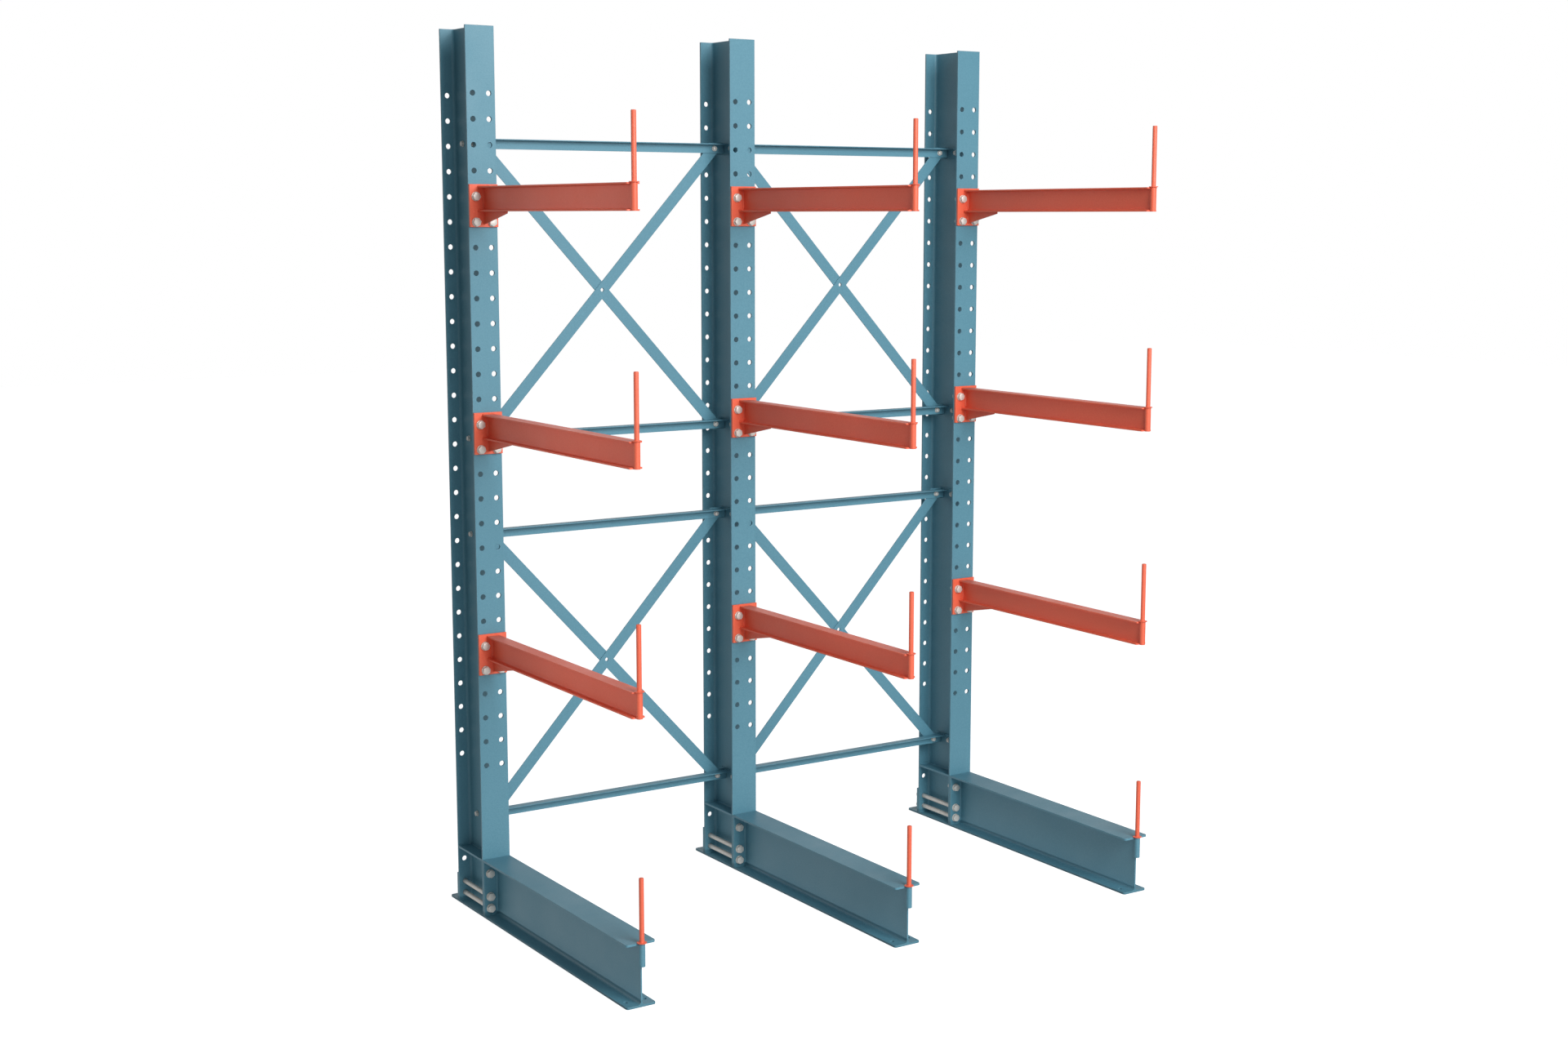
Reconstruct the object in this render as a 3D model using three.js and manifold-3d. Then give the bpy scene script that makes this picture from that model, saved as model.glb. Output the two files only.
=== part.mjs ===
// Single-sided structural cantilever rack: three columns, two braced bays, three arm levels.
// Millimetres, +Z up. X runs along the row, the arms and bases reach toward -Y.
// The origin is the centre of the rack's footprint, on the floor.
import * as THREE from 'three';
import { mergeVertices, mergeGeometries } from 'three/addons/utils/BufferGeometryUtils.js';
import Module from 'manifold-3d';

const wasm = await Module();
wasm.setup();

// ---- overall layout ----
const COLUMN_SPACING = 1225;
const COLUMN_HEIGHT = 3658;
const FIT_GAP = 0.3; // paint and clearance between two pieces that touch
const COLUMN_NAMES = ['left', 'middle', 'right'];
const COLUMN_X = [-COLUMN_SPACING, 0, COLUMN_SPACING];
const BAYS = [
  { name: 'left', x: -COLUMN_SPACING / 2 },
  { name: 'right', x: COLUMN_SPACING / 2 },
];

// ---- rolled section shared by columns and bases ----
const SECTION_DEPTH = 250;
const SECTION_WIDTH = 125;
const SECTION_FLANGE = 9;
const SECTION_WEB = 6;
const SECTION_ROOT = 12;

// ---- column ----
const BOLT_HALF_GAUGE = 35;
const BOLT_HOLE_RADIUS = 11;
const HOLE_PITCH = 101.6;
const HOLE_ROWS = 28;
const TOP_ROW_Z = COLUMN_HEIGHT - 264;
const FOOT_PLATE_THICKNESS = 9;
const FOOT_TAB_REACH = 85; // foot plate behind the rear flange
const FOOT_CORNER_RADIUS = 12;
const STIFFENER_THICKNESS = 9;
const BACK_PLATE_THICKNESS = 12;
const BACK_PLATE_TOP_Z = 128;
const ROD_HOLE_Z = [40, 90]; // long rods run the full depth of the column
const BASE_BOLT_Z = 190;

// ---- base and arm ends ----
const BEAM_END_Y = -1241;
const PIN_Y = -1247;
const SOCKET_RADIUS = 12.5;
const SOCKET_BORE_RADIUS = 10;
const BASE_SOCKET_LENGTH = 90;
const BASE_PLATE_THICKNESS = 10;
const ANCHOR_HOLE = { x: 40, y: -1188, radius: 9 };

// ---- arm ----
const ARM_DEPTH = 100;
const ARM_WIDTH = 55;
const ARM_FLANGE = 6;
const ARM_WEB = 5;
const ARM_ROOT = 6;
const ARM_LEVELS = [
  { name: 'upper', row: 5 },
  { name: 'centre', row: 14 },
  { name: 'lower', row: 23 },
];
const ARM_TOP_ABOVE_BOLT = 40.5;
const ARM_PLATE = { above: 48.5, below: 121.5, width: 124, thickness: 9.5 };
const GUSSET = { reach: 222, drop: 51, toe: 8, thickness: 6 };

// ---- stop pin ----
const PIN = { radius: 9.5, above: 250, inserted: 85, collarRadius: 19, collarHeight: 3, chamfer: 2 };
const ROUND_SEGMENTS = 12;
const HOLE_SEGMENTS = 6;

// ---- bracing ----
const BRACE_LEVELS = [
  { name: 'top', z: 3200 },
  { name: 'upper_mid', z: 2000 },
  { name: 'lower_mid', z: 1600 },
  { name: 'bottom', z: 400 },
];
const PANELS = [
  { name: 'upper', top: 3200, bottom: 2000 },
  { name: 'lower', top: 1600, bottom: 400 },
];
const BRACE_FRONT_Y = 140;
const ANGLE = { leg: 40, thickness: 4, endGap: 10 };
const BAR = { width: 50, thickness: 4, crossHoleRadius: 8 };
const BRACE_BOLT_X = 57; // brace bolt from the column centre
const BRACE_HOLE_RADIUS = 6.5;
const CLIP = { plate: 5, height: 50, halfDepth: 60, boltOffset: 46, reach: 82, corner: 10 };
const RISING_BAR_Y = BRACE_FRONT_Y + ANGLE.thickness + FIT_GAP;
const FALLING_BAR_Y = RISING_BAR_Y + BAR.thickness + FIT_GAP;
const CLIP_LEG_Y = FALLING_BAR_Y + BAR.thickness + FIT_GAP;

// The rack is shifted in Y so that its footprint is centred on the origin.
const FRONT_EDGE_Y = PIN_Y - PIN.collarRadius;
const REAR_EDGE_Y = SECTION_DEPTH + FOOT_TAB_REACH;
const SHIFT_Y = -(FRONT_EDGE_Y + REAR_EDGE_Y) / 2;

// ---- solids ----
function toSolid(geometry) {
  const bare = geometry.clone();
  bare.deleteAttribute('normal');
  bare.deleteAttribute('uv');
  const welded = mergeVertices(bare, 1e-4);
  return new wasm.Manifold(new wasm.Mesh({
    numProp: 3,
    vertProperties: new Float32Array(welded.attributes.position.array),
    triVerts: new Uint32Array(welded.index.array),
  }));
}

function toGeometry(solid) {
  const mesh = solid.getMesh();
  const geometry = new THREE.BufferGeometry();
  geometry.setAttribute('position', new THREE.BufferAttribute(mesh.vertProperties, 3));
  geometry.setIndex(new THREE.BufferAttribute(mesh.triVerts, 1));
  const flat = geometry.toNonIndexed();
  flat.computeVertexNormals();
  return flat;
}

function box(x0, x1, y0, y1, z0, z1) {
  const geometry = new THREE.BoxGeometry(x1 - x0, y1 - y0, z1 - z0);
  geometry.translate((x0 + x1) / 2, (y0 + y1) / 2, (z0 + z1) / 2);
  return toSolid(geometry);
}

// A flat outline of [a, b] points, extruded from 0 to length.
function extrude(points, length) {
  const shape = new THREE.Shape(points.map(([a, b]) => new THREE.Vector2(a, b)));
  return new THREE.ExtrudeGeometry(shape, { depth: length, bevelEnabled: false });
}

// Outline in X and Z, extruded along Y from y0 to y1.
function extrudeAlongY(points, y0, y1) {
  const geometry = extrude(points, y1 - y0);
  geometry.rotateX(Math.PI / 2);
  geometry.translate(0, y1, 0);
  return toSolid(geometry);
}

// Outline in X and Y, extruded along Z from z0 to z1.
function extrudeAlongZ(points, z0, z1) {
  const geometry = extrude(points, z1 - z0);
  geometry.translate(0, 0, z0);
  return toSolid(geometry);
}

// Outline in Y and Z, extruded along X from x0 to x1.
function extrudeAlongX(points, x0, x1) {
  const geometry = extrude(points, x1 - x0);
  geometry.applyMatrix4(new THREE.Matrix4().makeBasis(
    new THREE.Vector3(0, 1, 0),
    new THREE.Vector3(0, 0, 1),
    new THREE.Vector3(1, 0, 0),
  ));
  geometry.translate(x0, 0, 0);
  return toSolid(geometry);
}

function rodAlongY(x, z, y0, y1, radius, segments = HOLE_SEGMENTS) {
  const geometry = new THREE.CylinderGeometry(radius, radius, y1 - y0, segments);
  geometry.translate(x, (y0 + y1) / 2, z);
  return geometry;
}

function rodAlongX(y, z, x0, x1, radius) {
  const geometry = new THREE.CylinderGeometry(radius, radius, x1 - x0, HOLE_SEGMENTS);
  geometry.rotateZ(Math.PI / 2);
  geometry.translate((x0 + x1) / 2, y, z);
  return geometry;
}

function rodAlongZ(x, y, z0, z1, radius, segments = HOLE_SEGMENTS) {
  const geometry = new THREE.CylinderGeometry(radius, radius, z1 - z0, segments);
  geometry.rotateX(Math.PI / 2);
  geometry.translate(x, y, (z0 + z1) / 2);
  return geometry;
}

function drill(solid, holes) {
  return solid.subtract(toSolid(mergeGeometries(holes)));
}

function joinAll(solids) {
  return solids.reduce((joined, solid) => joined.add(solid));
}

// I-section outline centred on the web, first axis across the flanges, with root fillets.
function beamOutline(width, depth, flange, web, root) {
  const rootSteps = 3;
  const halfWidth = width / 2;
  const halfDepth = depth / 2;
  const fillet = (signA, signB, reverse) => {
    const centreA = signA * (web / 2 + root);
    const centreB = signB * (halfDepth - flange - root);
    const arc = [];
    for (let step = 0; step <= rootSteps; step += 1) {
      const angle = (step / rootSteps) * (Math.PI / 2);
      arc.push([centreA - signA * root * Math.sin(angle), centreB + signB * root * Math.cos(angle)]);
    }
    return reverse ? arc.reverse() : arc;
  };
  return [
    [-halfWidth, -halfDepth],
    [halfWidth, -halfDepth],
    [halfWidth, -halfDepth + flange],
    ...fillet(1, -1, false),
    ...fillet(1, 1, true),
    [halfWidth, halfDepth - flange],
    [halfWidth, halfDepth],
    [-halfWidth, halfDepth],
    [-halfWidth, halfDepth - flange],
    ...fillet(-1, 1, false),
    ...fillet(-1, -1, true),
    [-halfWidth, -halfDepth + flange],
  ];
}

// Rectangle whose two far corners (largest second value) are rounded.
function tabOutline(a0, a1, b0, b1, radius) {
  const steps = 3;
  const points = [[a0, b0], [a1, b0]];
  for (let step = 0; step <= steps; step += 1) {
    const angle = (step / steps) * (Math.PI / 2);
    points.push([a1 - radius + radius * Math.cos(angle), b1 - radius + radius * Math.sin(angle)]);
  }
  for (let step = 0; step <= steps; step += 1) {
    const angle = (step / steps) * (Math.PI / 2);
    points.push([a0 + radius - radius * Math.sin(angle), b1 - radius + radius * Math.cos(angle)]);
  }
  return points;
}

// ---- column weldment ----
function columnHoles() {
  const holes = [];
  const flangeSpans = [
    [-1, SECTION_FLANGE + 1],
    [SECTION_DEPTH - SECTION_FLANGE - 1, SECTION_DEPTH + 1],
  ];
  for (const [y0, y1] of flangeSpans) {
    for (const x of [-BOLT_HALF_GAUGE, BOLT_HALF_GAUGE]) {
      for (let row = 0; row < HOLE_ROWS; row += 1) {
        holes.push(rodAlongY(x, TOP_ROW_Z - row * HOLE_PITCH, y0, y1, BOLT_HOLE_RADIUS));
      }
      holes.push(rodAlongY(x, BASE_BOLT_Z, y0, y1, BOLT_HOLE_RADIUS));
    }
  }
  for (const x of [-BOLT_HALF_GAUGE, BOLT_HALF_GAUGE]) {
    for (const z of ROD_HOLE_Z) {
      const behindBackPlate = SECTION_DEPTH + BACK_PLATE_THICKNESS + 1;
      holes.push(rodAlongY(x, z, -1, SECTION_FLANGE + 1, BOLT_HOLE_RADIUS));
      holes.push(rodAlongY(x, z, SECTION_DEPTH - SECTION_FLANGE - 1, behindBackPlate, BOLT_HOLE_RADIUS));
    }
  }
  for (const level of BRACE_LEVELS) {
    for (const side of [-1, 1]) {
      const y = SECTION_DEPTH / 2 + side * CLIP.boltOffset;
      holes.push(rodAlongX(y, level.z, -SECTION_WEB, SECTION_WEB, BRACE_HOLE_RADIUS));
    }
  }
  return holes;
}

function makeColumn() {
  const outline = beamOutline(SECTION_WIDTH, SECTION_DEPTH, SECTION_FLANGE, SECTION_WEB, SECTION_ROOT);
  const centred = outline.map(([x, y]) => [x, y + SECTION_DEPTH / 2]);
  const shaft = extrudeAlongZ(centred, FOOT_PLATE_THICKNESS - 1, COLUMN_HEIGHT);
  const half = SECTION_WIDTH / 2;
  const footOutline = tabOutline(-half, half, 0, REAR_EDGE_Y, FOOT_CORNER_RADIUS);
  const foot = extrudeAlongZ(footOutline, 0, FOOT_PLATE_THICKNESS);
  const backPlate = box(
    -half, half,
    SECTION_DEPTH - 1, SECTION_DEPTH + BACK_PLATE_THICKNESS,
    FOOT_PLATE_THICKNESS - 1, BACK_PLATE_TOP_Z,
  );
  const stiffener = box(
    -half, half,
    SECTION_FLANGE - 1, SECTION_DEPTH - SECTION_FLANGE + 1,
    SECTION_DEPTH - STIFFENER_THICKNESS, SECTION_DEPTH,
  );
  return drill(joinAll([shaft, foot, backPlate, stiffener]), columnHoles());
}

// ---- base beam with end plate and pin socket ----
function makeBase() {
  const outline = beamOutline(SECTION_WIDTH, SECTION_DEPTH, SECTION_FLANGE, SECTION_WEB, SECTION_ROOT);
  const raised = outline.map(([x, z]) => [x, z + SECTION_DEPTH / 2]);
  const half = SECTION_WIDTH / 2;
  const plateBackY = -FIT_GAP;
  const plateFrontY = plateBackY - BASE_PLATE_THICKNESS;
  const beam = extrudeAlongY(raised, BEAM_END_Y, plateFrontY + 1);
  const plate = box(-half, half, plateFrontY, plateBackY, 0, SECTION_DEPTH);
  const socketBottom = SECTION_DEPTH - BASE_SOCKET_LENGTH;
  const socket = toSolid(rodAlongZ(0, PIN_Y, socketBottom, SECTION_DEPTH, SOCKET_RADIUS, ROUND_SEGMENTS));
  const holes = [
    rodAlongZ(0, PIN_Y, socketBottom - 1, SECTION_DEPTH + 1, SOCKET_BORE_RADIUS, ROUND_SEGMENTS),
  ];
  for (const x of [-BOLT_HALF_GAUGE, BOLT_HALF_GAUGE]) {
    for (const z of [...ROD_HOLE_Z, BASE_BOLT_Z]) {
      holes.push(rodAlongY(x, z, plateFrontY - 1, plateBackY + 1, BOLT_HOLE_RADIUS));
    }
  }
  for (const x of [-ANCHOR_HOLE.x, ANCHOR_HOLE.x]) {
    holes.push(rodAlongZ(x, ANCHOR_HOLE.y, -1, SECTION_FLANGE + 1, ANCHOR_HOLE.radius));
  }
  return drill(joinAll([beam, plate, socket]), holes);
}

// ---- arm: beam, mounting plate, gusset and pin socket; z = 0 is its upper bolt row ----
function makeArm() {
  const outline = beamOutline(ARM_WIDTH, ARM_DEPTH, ARM_FLANGE, ARM_WEB, ARM_ROOT);
  const raised = outline.map(([x, z]) => [x, z + ARM_TOP_ABOVE_BOLT - ARM_DEPTH / 2]);
  const plateBackY = -FIT_GAP;
  const plateFrontY = plateBackY - ARM_PLATE.thickness;
  const armBottom = ARM_TOP_ABOVE_BOLT - ARM_DEPTH;
  const beam = extrudeAlongY(raised, BEAM_END_Y, plateFrontY + 1);
  const plate = box(
    -ARM_PLATE.width / 2, ARM_PLATE.width / 2,
    plateFrontY, plateBackY,
    -ARM_PLATE.below, ARM_PLATE.above,
  );
  const gusset = extrudeAlongX([
    [plateFrontY + 1, armBottom + 1],
    [plateFrontY + 1, armBottom - GUSSET.drop],
    [plateFrontY, armBottom - GUSSET.drop],
    [-GUSSET.reach, armBottom - GUSSET.toe],
    [-GUSSET.reach, armBottom + 1],
  ].reverse(), -GUSSET.thickness / 2, GUSSET.thickness / 2);
  const socket = toSolid(rodAlongZ(0, PIN_Y, armBottom, ARM_TOP_ABOVE_BOLT, SOCKET_RADIUS, ROUND_SEGMENTS));
  const holes = [
    rodAlongZ(0, PIN_Y, armBottom - 1, ARM_TOP_ABOVE_BOLT + 1, SOCKET_BORE_RADIUS, ROUND_SEGMENTS),
  ];
  for (const x of [-BOLT_HALF_GAUGE, BOLT_HALF_GAUGE]) {
    for (const z of [0, -HOLE_PITCH]) {
      holes.push(rodAlongY(x, z, plateFrontY - 1, plateBackY + 1, BOLT_HOLE_RADIUS));
    }
  }
  return drill(joinAll([beam, plate, gusset, socket]), holes);
}

// ---- stop pin; z = 0 is the top face of the beam it stands on ----
function makePin() {
  const { radius, above, inserted, collarRadius, collarHeight, chamfer } = PIN;
  const profile = [
    [0, -inserted],
    [radius - chamfer, -inserted],
    [radius, -inserted + chamfer],
    [radius, FIT_GAP],
    [collarRadius, FIT_GAP],
    [collarRadius, FIT_GAP + collarHeight],
    [radius, FIT_GAP + collarHeight],
    [radius, above - chamfer],
    [radius - chamfer, above],
    [0, above],
  ].map(([r, z]) => new THREE.Vector2(r, z));
  const geometry = new THREE.LatheGeometry(profile, ROUND_SEGMENTS);
  geometry.rotateX(Math.PI / 2);
  geometry.translate(0, PIN_Y, 0);
  return toSolid(geometry);
}

// ---- horizontal brace: angle iron, flat leg on top reaching forward; x = 0 is the bay centre ----
function makeAngleBrace() {
  const half = COLUMN_SPACING / 2 - ANGLE.endGap;
  const backY = BRACE_FRONT_Y + ANGLE.thickness;
  const top = ANGLE.leg / 2;
  const outline = [
    [backY, -top],
    [backY, top],
    [backY - ANGLE.leg, top],
    [backY - ANGLE.leg, top - ANGLE.thickness],
    [BRACE_FRONT_Y, top - ANGLE.thickness],
    [BRACE_FRONT_Y, -top],
  ];
  const boltX = COLUMN_SPACING / 2 - BRACE_BOLT_X;
  const holes = [-boltX, boltX].map((x) => (
    rodAlongY(x, 0, BRACE_FRONT_Y - 1, backY + 1, BRACE_HOLE_RADIUS)
  ));
  return drill(extrudeAlongX(outline, -half, half), holes);
}

// ---- diagonal brace: flat bar with rounded ends; direction is +1 rising or -1 falling to the right ----
function makeDiagonal(direction) {
  const run = COLUMN_SPACING / 2 - BRACE_BOLT_X;
  const rise = (PANELS[0].top - PANELS[0].bottom) / 2;
  const halfLength = Math.hypot(run, rise);
  const endSteps = 6;
  const radius = BAR.width / 2;
  const outline = [];
  for (const end of [1, -1]) {
    for (let step = 0; step <= endSteps; step += 1) {
      const angle = -Math.PI / 2 + (step / endSteps) * Math.PI;
      outline.push([end * (halfLength + radius * Math.cos(angle)), end * radius * Math.sin(angle)]);
    }
  }
  const y0 = direction > 0 ? RISING_BAR_Y : FALLING_BAR_Y;
  const y1 = y0 + BAR.thickness;
  const holes = [
    rodAlongY(-halfLength, 0, y0 - 1, y1 + 1, BRACE_HOLE_RADIUS),
    rodAlongY(halfLength, 0, y0 - 1, y1 + 1, BRACE_HOLE_RADIUS),
    rodAlongY(0, 0, y0 - 1, y1 + 1, BAR.crossHoleRadius, 2 * HOLE_SEGMENTS),
  ];
  const slope = THREE.MathUtils.radToDeg(Math.atan2(rise, run));
  return drill(extrudeAlongY(outline, y0, y1), holes).rotate([0, -direction * slope, 0]);
}

// ---- brace clip: plate on the column web with a leg standing off it; x = 0 is the column centre ----
function makeClip(side) {
  const innerX = SECTION_WEB / 2 + FIT_GAP;
  const outerX = innerX + CLIP.plate;
  const middleY = SECTION_DEPTH / 2;
  const halfHeight = CLIP.height / 2;
  const plate = box(
    innerX, outerX,
    middleY - CLIP.halfDepth, middleY + CLIP.halfDepth,
    -halfHeight, halfHeight,
  );
  const legOutline = tabOutline(-halfHeight, halfHeight, outerX - 1, CLIP.reach, CLIP.corner);
  const turned = legOutline.map(([z, x]) => [x, z]).reverse();
  const leg = extrudeAlongY(turned, CLIP_LEG_Y, CLIP_LEG_Y + CLIP.plate);
  const holes = [
    rodAlongX(middleY - CLIP.boltOffset, 0, 0, outerX + 1, BRACE_HOLE_RADIUS),
    rodAlongX(middleY + CLIP.boltOffset, 0, 0, outerX + 1, BRACE_HOLE_RADIUS),
    rodAlongY(BRACE_BOLT_X, 0, CLIP_LEG_Y - 1, CLIP_LEG_Y + CLIP.plate + 1, BRACE_HOLE_RADIUS),
  ];
  const rightHand = drill(plate.add(leg), holes);
  return side > 0 ? rightHand : rightHand.mirror([1, 0, 0]);
}

// ---- finishes ----
const bluePaint = () => new THREE.MeshStandardMaterial({ color: 0x5f8fa3, roughness: 0.55, metalness: 0.1 });
const orangePaint = () => new THREE.MeshStandardMaterial({ color: 0xe8694f, roughness: 0.5, metalness: 0.1 });

const rack = new THREE.Group();
rack.name = 'cantilever_rack';

function place(name, solid, x, z, material) {
  const mesh = new THREE.Mesh(toGeometry(solid.translate([x, SHIFT_Y, z])), material);
  mesh.name = name;
  rack.add(mesh);
}

const column = makeColumn();
const base = makeBase();
const arm = makeArm();
const pin = makePin();
COLUMN_NAMES.forEach((side, index) => {
  const x = COLUMN_X[index];
  place(`column_${side}`, column, x, 0, bluePaint());
  place(`base_${side}`, base, x, 0, bluePaint());
  place(`base_pin_${side}`, pin, x, SECTION_DEPTH, orangePaint());
  for (const level of ARM_LEVELS) {
    const boltZ = TOP_ROW_Z - (level.row - 1) * HOLE_PITCH;
    place(`arm_${level.name}_${side}`, arm, x, boltZ, orangePaint());
    place(`arm_pin_${level.name}_${side}`, pin, x, boltZ + ARM_TOP_ABOVE_BOLT, orangePaint());
  }
});

const angleBrace = makeAngleBrace();
const risingBar = makeDiagonal(1);
const fallingBar = makeDiagonal(-1);
const clips = { left: makeClip(-1), right: makeClip(1) };
for (const bay of BAYS) {
  const ends = [
    { facing: 'right', x: bay.x - COLUMN_SPACING / 2 },
    { facing: 'left', x: bay.x + COLUMN_SPACING / 2 },
  ];
  for (const level of BRACE_LEVELS) {
    place(`brace_angle_${level.name}_${bay.name}`, angleBrace, bay.x, level.z, bluePaint());
    for (const end of ends) {
      const columnName = COLUMN_NAMES[COLUMN_X.indexOf(end.x)];
      place(`clip_${level.name}_${columnName}_${end.facing}`, clips[end.facing], end.x, level.z, bluePaint());
    }
  }
  for (const panel of PANELS) {
    const centreZ = (panel.top + panel.bottom) / 2;
    place(`diagonal_${panel.name}_rising_${bay.name}`, risingBar, bay.x, centreZ, bluePaint());
    place(`diagonal_${panel.name}_falling_${bay.name}`, fallingBar, bay.x, centreZ, bluePaint());
  }
}

export default rack;
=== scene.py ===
"""The visual model of a single-sided cantilever rack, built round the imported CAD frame.

Shapes are written in millimetres in the rack's own design frame: X along the row, y = 0 at the
columns' front faces, arms toward -Y, z = 0 at the floor. raw_mesh() and placed() turn them
into metres.
"""

import math

import bmesh
import bpy
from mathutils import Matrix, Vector
from mathutils.geometry import tessellate_polygon


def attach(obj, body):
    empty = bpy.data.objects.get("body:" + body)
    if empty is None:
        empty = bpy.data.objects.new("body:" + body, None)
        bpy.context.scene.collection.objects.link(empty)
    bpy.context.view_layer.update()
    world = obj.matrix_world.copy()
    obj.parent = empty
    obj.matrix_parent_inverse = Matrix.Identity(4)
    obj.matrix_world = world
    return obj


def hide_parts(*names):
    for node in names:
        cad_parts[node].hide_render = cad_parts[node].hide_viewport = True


MM = 0.001  # metres
SHIFT_Y = 465.5  # centres the footprint on the origin
ROOT = "rack_frame"

# ---- layout ----
COLUMN_X = {"left": -1225, "middle": 0, "right": 1225}
BAY_WIDTH = COLUMN_X["middle"] - COLUMN_X["left"]
BAYS = {"left": ("left", "middle"), "right": ("middle", "right")}
COLUMN_HEIGHT = 3658

# ---- rolled section of columns and bases ----
SECTION = {"width": 125, "depth": 250, "flange": 9, "web": 6, "root": 12}
ARM_SECTION = {"width": 55, "depth": 100, "flange": 6, "web": 5, "root": 6}

# ---- column ----
HALF_GAUGE = 35
HOLE_RADIUS = 11
HOLE_PITCH = 101.6
HOLE_ROWS = 28
TOP_ROW_Z = COLUMN_HEIGHT - 264
BASE_BOLT_Z = 190
ROD_Z = (40, 90)
FOOT_THICKNESS = 9
FOOT_REAR_Y = 335
FOOT_CORNER = 12
FOOT_STATIONS = (65, 140, 235)  # heights between and above the base's bolt holes
STIFFENER_Z = (241, 250)
STIFFENER_SNIPE = 11  # corner cut off to clear the section's root
STIFFENER_EMBED = 0.2
BACK_PLATE = {"y": (250, 262), "top": 128}

# ---- base, arm and pin ----
GAP = 0.3  # between bolted faces
EMBED = 0.5  # how far a welded piece runs into the one it joins
BEAM_END_Y = -1241
TIP_CORNER = 11
ARM_TIP_CORNER = 6
TIP_ANGLES = (90, 60, 40, 20, 0)
PIN_Y = -1247
SOCKET_RADIUS = 12.5
SOCKET_BORE = 10
SOCKET_LENGTH = 90
END_PLATE = 10
ANCHOR = {"x": 40, "y": -1188, "radius": 9}
ARM_ROWS = {"upper": 5, "centre": 14, "lower": 23}
ARM_TOP = 40.5  # above the arm's upper bolts
ARM_PLATE = {"half": 62, "above": 48.5, "below": 121.5, "thickness": 9.5}
GUSSET = {"reach": 222, "drop": 51, "toe": 8, "heel": 6, "half": 3}
PIN = {"radius": 9.5, "above": 250, "inserted": 85, "collar": 19, "collar_height": 3}

# ---- bracing ----
BRACE_Z = {"top": 3200, "upper_mid": 2000, "lower_mid": 1600, "bottom": 400}
PANELS = {"upper": (3200, 2000), "lower": (1600, 400)}
BRACE_BOLT_X = 57
BRACE_HOLE = 6.5
PACKING_RADIUS = 14
ANGLE = {"leg": 40, "thickness": 4, "root": 4, "heel": 1.5, "end_gap": 10, "front_y": 140}
DRILLED_END = 80  # length of an angle's end that holds its bolt hole
BAR = {"half": 25, "thickness": 4, "cross_hole": 8, "rising_y": 144.3, "falling_y": 148.6}
CLIP = {"plate": 5, "half": 25, "y": (65, 185), "reach": 82, "corner": 10, "leg_y": 152.9}
WEB_BOLT_Y = (79, 171)

# ---- fasteners: head and nut sizes of metric bolts ----
M20 = {"radius": 10, "flats": 30, "head": 12.5, "nut": 16, "washer": 18.5, "washer_t": 3, "pitch": 2.5}
M12 = {"radius": 6, "flats": 18, "head": 7.5, "nut": 10, "washer": 12, "washer_t": 2.5, "pitch": 1.75}
CHAMFER_START = 0.96  # radius where a head's chamfer starts, as a share of half its flats
CHAMFER_ANGLE = math.radians(30)

# ---- welds ----
BEAD = ((0, 0), (1, 0), (0.86, 0.34), (0.6, 0.6), (0.34, 0.86), (0, 1))
RIPPLE = 6  # length of one ripple
SWELL = 11  # a bead thickens and thins slowly, once in 2 pi times this length
WELD_STEP = 2
WELD_END = 0.55  # size of a bead's end, as a share of its leg
WELD_INSET = 1.5  # from a flange's edge to the bead's end

# ---- fineness ----
HOLE_STEPS = 24
SOCKET_STEPS = 32
FASTENER_STEPS = 36
PIN_STEPS = 40
CORNER_STEPS = 6
ROOT_STEPS = 5
SHARP_ANGLE = math.radians(40)


# ---------------------------------------------------------------- shapes
class Shell:
    """One closed surface. Points at the same place are shared."""

    def __init__(self, bevelled=True):
        self.points = []
        self.index = {}
        self.faces = []
        self.bevelled = bevelled

    def point(self, place):
        key = tuple(round(value, 4) for value in place)
        if key not in self.index:
            self.index[key] = len(self.points)
            self.points.append(key)
        return self.index[key]

    def face(self, corners):
        loop = []
        for corner in corners:
            index = self.point(corner)
            if index not in loop:
                loop.append(index)
        if len(loop) > 2:
            self.faces.append(loop)

    def loft(self, rings):
        """Walls between each closed ring of points and the next."""
        for lower, upper in zip(rings, rings[1:]):
            for k in range(len(lower)):
                n = (k + 1) % len(lower)
                self.face([lower[k], lower[n], upper[n], upper[k]])

    def moved(self, change):
        """A copy with every point put through change(x, y, z)."""
        copy = Shell(self.bevelled)
        copy.points = [change(*point) for point in self.points]
        copy.faces = self.faces
        return copy


def circle(centre_a, centre_b, radius, steps=HOLE_STEPS):
    turn = 2 * math.pi / steps
    return [
        (centre_a + radius * math.cos(k * turn), centre_b + radius * math.sin(k * turn))
        for k in range(steps)
    ]


def arc(centre, radius, start, end, steps):
    """Points on a circle from start to end, in degrees."""
    points = []
    for k in range(steps + 1):
        angle = math.radians(start + (end - start) * k / steps)
        points.append((centre[0] + radius * math.cos(angle), centre[1] + radius * math.sin(angle)))
    return points


def i_outline(width, depth, flange, web, root, narrow=0):
    """I-section round (0, 0) to (0, depth); narrow pulls the flange edges in on both sides."""
    edge = width / 2 - narrow
    inner = web / 2 + root
    low = flange + root
    high = depth - flange - root
    right = [(0, 0), (edge, 0), (edge, flange)]
    right += arc((inner, low), root, -90, -180, ROOT_STEPS)
    right += arc((inner, high), root, 180, 90, ROOT_STEPS)
    right += [(edge, depth - flange), (edge, depth), (0, depth)]
    left = [(-a, b) for a, b in reversed(right[1:-1])]
    return right + left


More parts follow.
